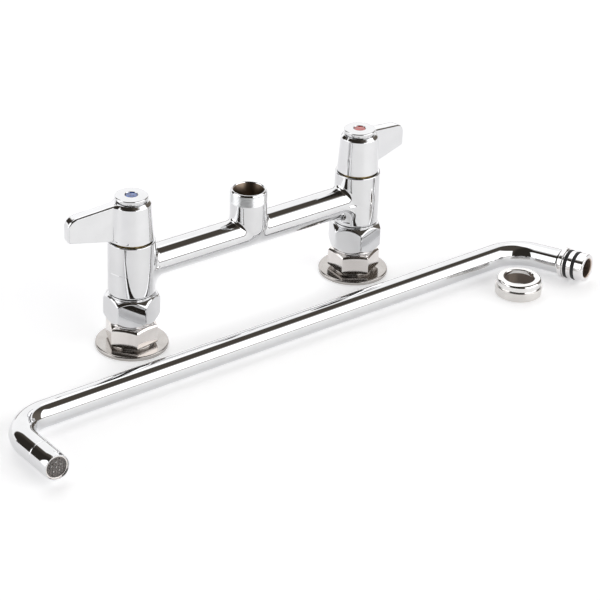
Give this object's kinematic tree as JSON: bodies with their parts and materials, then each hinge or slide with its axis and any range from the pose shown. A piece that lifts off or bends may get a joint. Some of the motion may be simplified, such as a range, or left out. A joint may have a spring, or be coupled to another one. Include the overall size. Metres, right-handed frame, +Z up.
{
  "type": "deck-mount mixing faucet",
  "caption": "Deck-mount bridge faucet: lever-handled valve columns on flanged union inlets, joined by a crossbar with a spout post; long swing spout and its nut lie unfitted beside it.",
  "frame": {"origin": "on the deck plane under the flanges, midway between the axes of the two threaded supply inlets", "axes": "+X from the cold inlet to the hot inlet, -Y towards the user, +Z up from the deck"},
  "size_m": [0.4989, 0.154, 0.1189],
  "materials": {
    "chrome_body": "mirror-bright plate on cast and drawn brass",
    "chrome_tube": "mirror-bright plate on drawn tube",
    "chrome_plug": "bright plate on a turned plug",
    "chrome_nut": "bright plate on a hexagonal nut",
    "chrome_handle": "mirror-bright plate on a casting",
    "chrome_cap": "mirror-bright plate on a turned button",
    "satin_nickel": "warm satin nickel plate on turned brass",
    "spring_steel": "bright spring wire and strip",
    "screw_steel": "machined",
    "screen_steel": "fine woven wire",
    "brass": "machined, unplated",
    "black_rubber": "moulded, dull",
    "ceramic": "lapped white ceramic",
    "white_plastic": "moulded",
    "blue_index": "glossy insert",
    "red_index": "glossy insert"
  },
  "bodies": {
    "faucet": {"faucet_body": "chrome_body", "cold_coupling_nut": "chrome_nut", "cold_tail_ring": "brass", "cold_union_washer": "black_rubber", "cold_flanged_inlet": "satin_nickel", "cold_bonnet": "brass", "cold_seat_seal": "black_rubber", "cold_fixed_disc": "ceramic", "hot_coupling_nut": "chrome_nut", "hot_tail_ring": "brass", "hot_union_washer": "black_rubber", "hot_flanged_inlet": "satin_nickel", "hot_bonnet": "brass", "hot_seat_seal": "black_rubber", "hot_fixed_disc": "ceramic", "spout_nut": "satin_nickel"},
    "cold_valve": {"cold_moving_disc": "ceramic", "cold_stem": "brass", "cold_stem_seal": "black_rubber", "cold_stem_clip": "spring_steel", "cold_handle": "chrome_handle", "cold_handle_screw": "screw_steel", "cold_cap": "chrome_cap", "cold_index": "blue_index"},
    "hot_valve": {"hot_moving_disc": "ceramic", "hot_stem": "brass", "hot_stem_seal": "black_rubber", "hot_stem_clip": "spring_steel", "hot_handle": "chrome_handle", "hot_handle_screw": "screw_steel", "hot_cap": "chrome_cap", "hot_index": "red_index"},
    "spout": {"spout_tube": "chrome_tube", "spout_plug": "chrome_plug", "plug_seals": "black_rubber", "plug_retaining_ring": "spring_steel", "outlet_ring": "satin_nickel", "outlet_screen": "screen_steel", "outlet_diffuser": "white_plastic", "outlet_gasket": "black_rubber"}
  },
  "joints": [
    {"name": "cold_turn", "type": "hinge", "parent": "faucet", "child": "cold_valve", "pos_m": [-0.1016, 0, 0.1], "axis": [0, 0, 1], "range_deg": [0, 90]},
    {"name": "hot_turn", "type": "hinge", "parent": "faucet", "child": "hot_valve", "pos_m": [0.1016, 0, 0.1], "axis": [0, 0, -1], "range_deg": [0, 90]},
    {"name": "spout_swing", "type": "hinge", "parent": "faucet", "child": "spout", "pos_m": [0.23478, -0.11396, 0.01269], "axis": [-0.3453, 0.937, -0.0534], "continuous": true}
  ]
}
